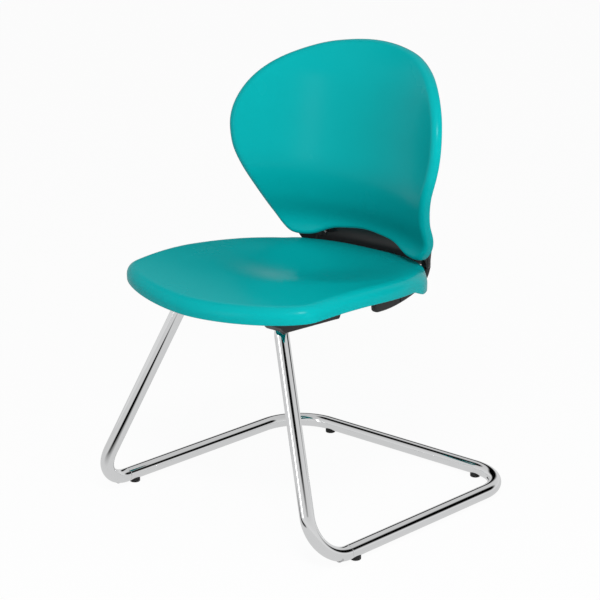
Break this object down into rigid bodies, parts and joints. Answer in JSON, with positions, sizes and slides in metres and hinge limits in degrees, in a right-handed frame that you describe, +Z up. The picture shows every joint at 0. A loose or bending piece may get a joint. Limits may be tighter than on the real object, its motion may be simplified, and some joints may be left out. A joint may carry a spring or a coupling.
{
  "type": "sled base visitor chair",
  "caption": "Visitor chair with two moulded shells on a bent chrome tube sled base, and a back that tilts on sprung hinges behind the seat.",
  "frame": {"origin": "on the floor under the middle of the chair's box", "axes": "+Z up, the sitter faces -Y, and +X is the sitter's left"},
  "size_m": [0.5684, 0.5868, 0.8111],
  "materials": {
    "chrome": "mirror",
    "shell": "satin",
    "black_plastic": "satin",
    "rubber": "matt",
    "fastener_steel": "zinc plated",
    "nylon": "natural"
  },
  "bodies": {
    "frame": {"runner_tube": "chrome", "glide_front_left": "rubber", "glide_front_right": "rubber", "glide_rear_left": "rubber", "glide_rear_right": "rubber", "leg_tube_left": "chrome", "leg_tube_right": "chrome", "cross_bar_front": "chrome", "cross_bar_rear": "chrome", "rail_plug_left": "black_plastic", "rail_plug_right": "black_plastic", "rail_cover_left": "black_plastic", "rail_cover_right": "black_plastic", "rail_saddle_left": "black_plastic", "rail_saddle_right": "black_plastic", "arm_bracket_left": "black_plastic", "arm_bracket_right": "black_plastic", "bracket_bolt_front_left": "fastener_steel", "bracket_bolt_front_right": "fastener_steel", "bracket_bolt_rear_left": "fastener_steel", "bracket_bolt_rear_right": "fastener_steel", "back_arm_left": "black_plastic", "back_arm_right": "black_plastic", "arm_screw_left": "fastener_steel", "arm_screw_right": "fastener_steel", "torsion_bush_left": "rubber", "torsion_bush_right": "rubber", "seat_shell": "shell", "seat_screw_front_left": "fastener_steel", "seat_screw_front_right": "fastener_steel", "seat_screw_middle_left": "fastener_steel", "seat_screw_middle_right": "fastener_steel", "seat_screw_rear_left": "fastener_steel", "seat_screw_rear_right": "fastener_steel"},
    "back": {"pivot_pin_left": "fastener_steel", "pivot_pin_right": "fastener_steel", "pivot_washer_inner_left": "nylon", "pivot_washer_inner_right": "nylon", "pivot_washer_outer_left": "nylon", "pivot_washer_outer_right": "nylon", "stop_pad_left": "rubber", "stop_pad_right": "rubber", "back_screw_upper_left": "fastener_steel", "back_screw_upper_right": "fastener_steel", "back_screw_lower_left": "fastener_steel", "back_screw_lower_right": "fastener_steel", "back_shell": "shell", "back_yoke": "black_plastic"}
  },
  "joints": [
    {"name": "back_tilt", "type": "hinge", "parent": "frame", "child": "back", "pos_m": [0, 0.186, 0.445], "axis": [-1, 0, 0], "range_deg": [0, 12], "stiffness_Nm_per_rad": 120, "springref_deg": -5.73}
  ]
}
